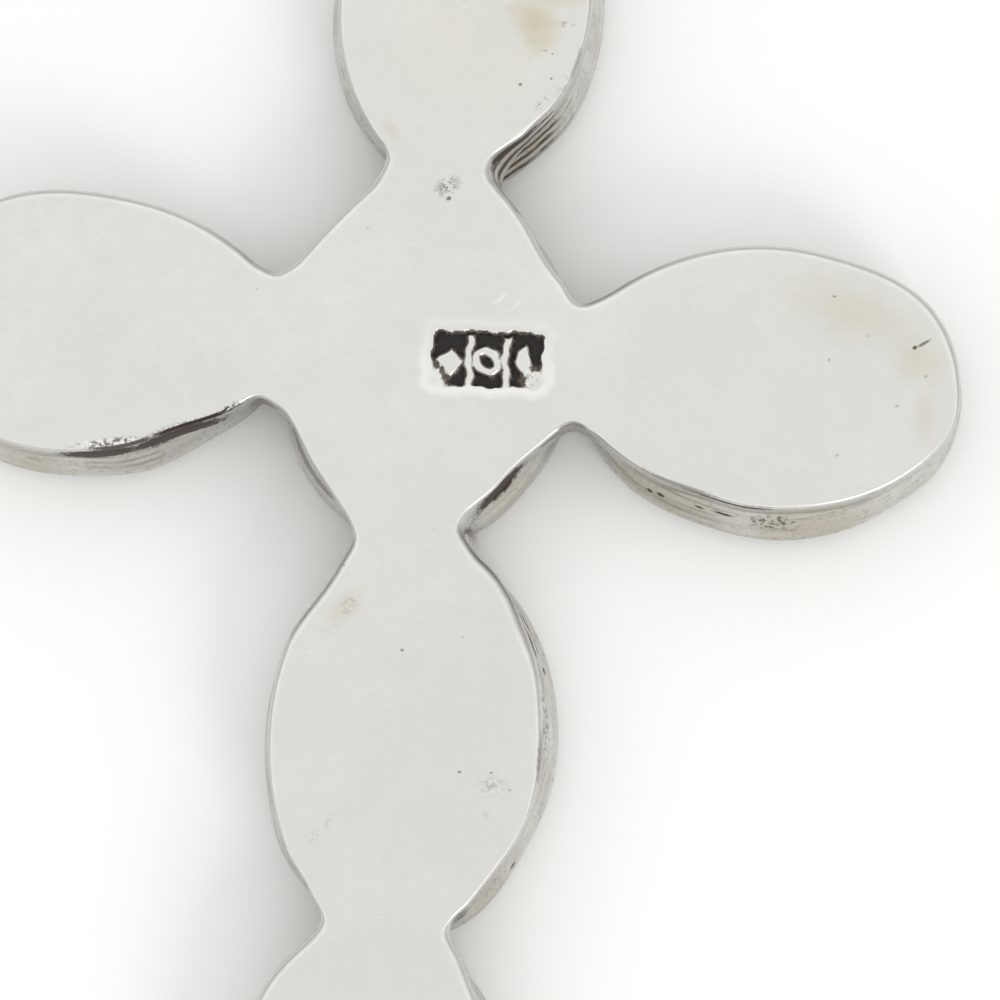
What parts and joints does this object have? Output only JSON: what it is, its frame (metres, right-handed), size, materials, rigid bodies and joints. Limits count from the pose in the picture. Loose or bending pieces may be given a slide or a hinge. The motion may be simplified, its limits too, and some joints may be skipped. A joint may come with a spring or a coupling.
{
  "type": "cross pendant",
  "caption": "Latin cross pendant of joined oval lobes with a flat back sheet, low plain domes in front, a soldered eyelet and a loose tapered bail.",
  "frame": {"origin": "middle of the pendant's footprint, on the surface that the domes rest on, face down", "axes": "+Y from the foot towards the bail, +Z out of the flat back, +X to the right seen from the back"},
  "size_m": [0.0248, 0.0432, 0.0046],
  "materials": {
    "worn_silver": "polished silver, worn and lightly tarnished",
    "bail_silver": "polished silver"
  },
  "bodies": {
    "root": {"cross": "worn_silver", "bail": "bail_silver"}
  },
  "joints": []
}
